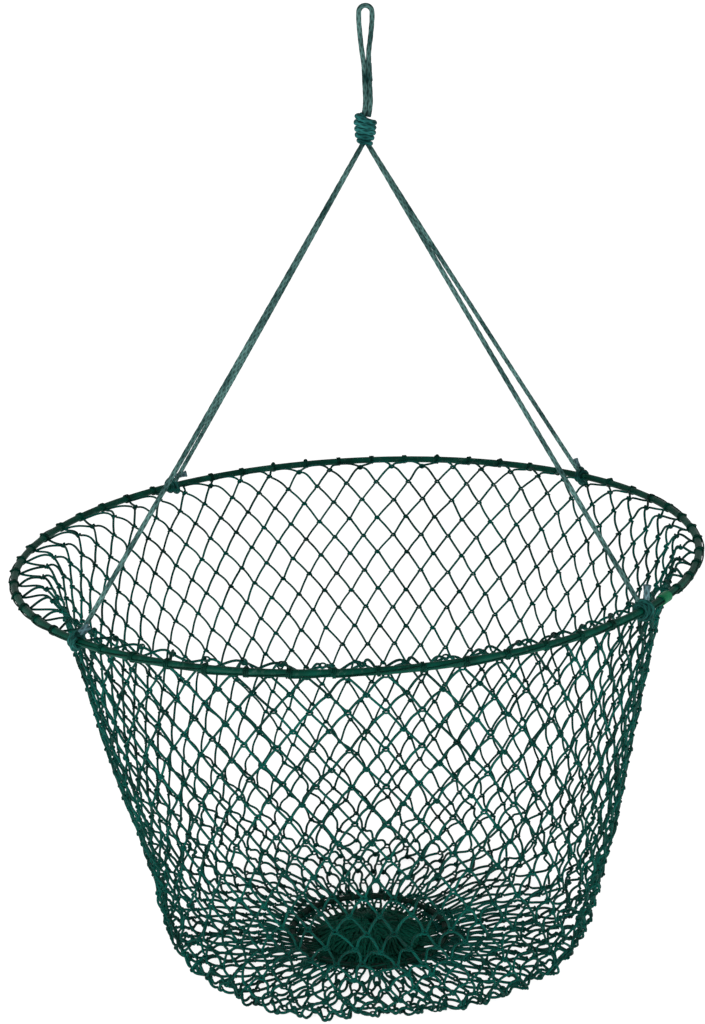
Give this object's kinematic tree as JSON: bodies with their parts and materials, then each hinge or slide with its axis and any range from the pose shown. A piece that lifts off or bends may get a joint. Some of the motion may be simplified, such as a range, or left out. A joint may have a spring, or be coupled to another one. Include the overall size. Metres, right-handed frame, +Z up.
{
  "type": "folding crab trap",
  "caption": "Hoop net that folds flat: a knotted diamond-mesh basket hangs from a coated steel hoop, lifted by a four-leg rope bridle that ends in a hand loop.",
  "frame": {"origin": "the underside of the hand loop's top, where a hook or a finger bears", "axes": "+Z up along the hanging trap, -Y towards the front, +X to the right"},
  "size_m": [0.7714, 0.772, 1.0629],
  "materials": {
    "rope": "braided cord, grey green",
    "knot": "braided cord drawn tight, darker green",
    "steel": "bright drawn rod",
    "hoop_coating": "satin dark green coating",
    "joint_sleeve": "satin bright green sleeve",
    "lashing": "twisted twine",
    "netting": "twisted twine, dark green",
    "foot_ring_coating": "blackish green coating",
    "gathered_netting": "bunched twine, very dark green"
  },
  "bodies": {
    "loop": {"hand_loop": "rope", "loop_tail": "rope"},
    "bridle": {"bridle_knot": "knot", "leg_front_left": "rope", "leg_front_right": "rope", "leg_rear_left": "rope", "leg_rear_right": "rope"},
    "hoop": {"hitch_front_left": "knot", "hitch_front_right": "knot", "hitch_rear_left": "knot", "hitch_rear_right": "knot", "tail_front_left": "rope", "tail_front_right": "rope", "tail_rear_left": "rope", "tail_rear_right": "rope", "hoop_rod": "steel", "hoop_coating": "hoop_coating", "hoop_joint_sleeve": "joint_sleeve", "head_lashings": "lashing", "net_wall": "netting"},
    "foot": {"net_floor": "netting", "foot_ring_rod": "steel", "foot_ring_coating": "foot_ring_coating", "foot_lashings": "lashing", "net_gather": "gathered_netting", "gather_tie": "lashing", "gather_knot": "lashing"}
  },
  "joints": [
    {"name": "loop_flop", "type": "hinge", "parent": "loop", "child": "bridle", "pos_m": [0, 0, -0.1075], "axis": [1, 0, 0], "range_deg": [-85, 85]},
    {"name": "bridle_slack", "type": "slide", "parent": "bridle", "child": "hoop", "axis": [0, 0, 1], "range_m": [0, 0.4], "deforming": ["leg_front_left", "leg_front_right", "leg_rear_left", "leg_rear_right"]},
    {"name": "net_collapse", "type": "slide", "parent": "hoop", "child": "foot", "axis": [0, 0, 1], "range_m": [0, 0.42]}
  ]
}
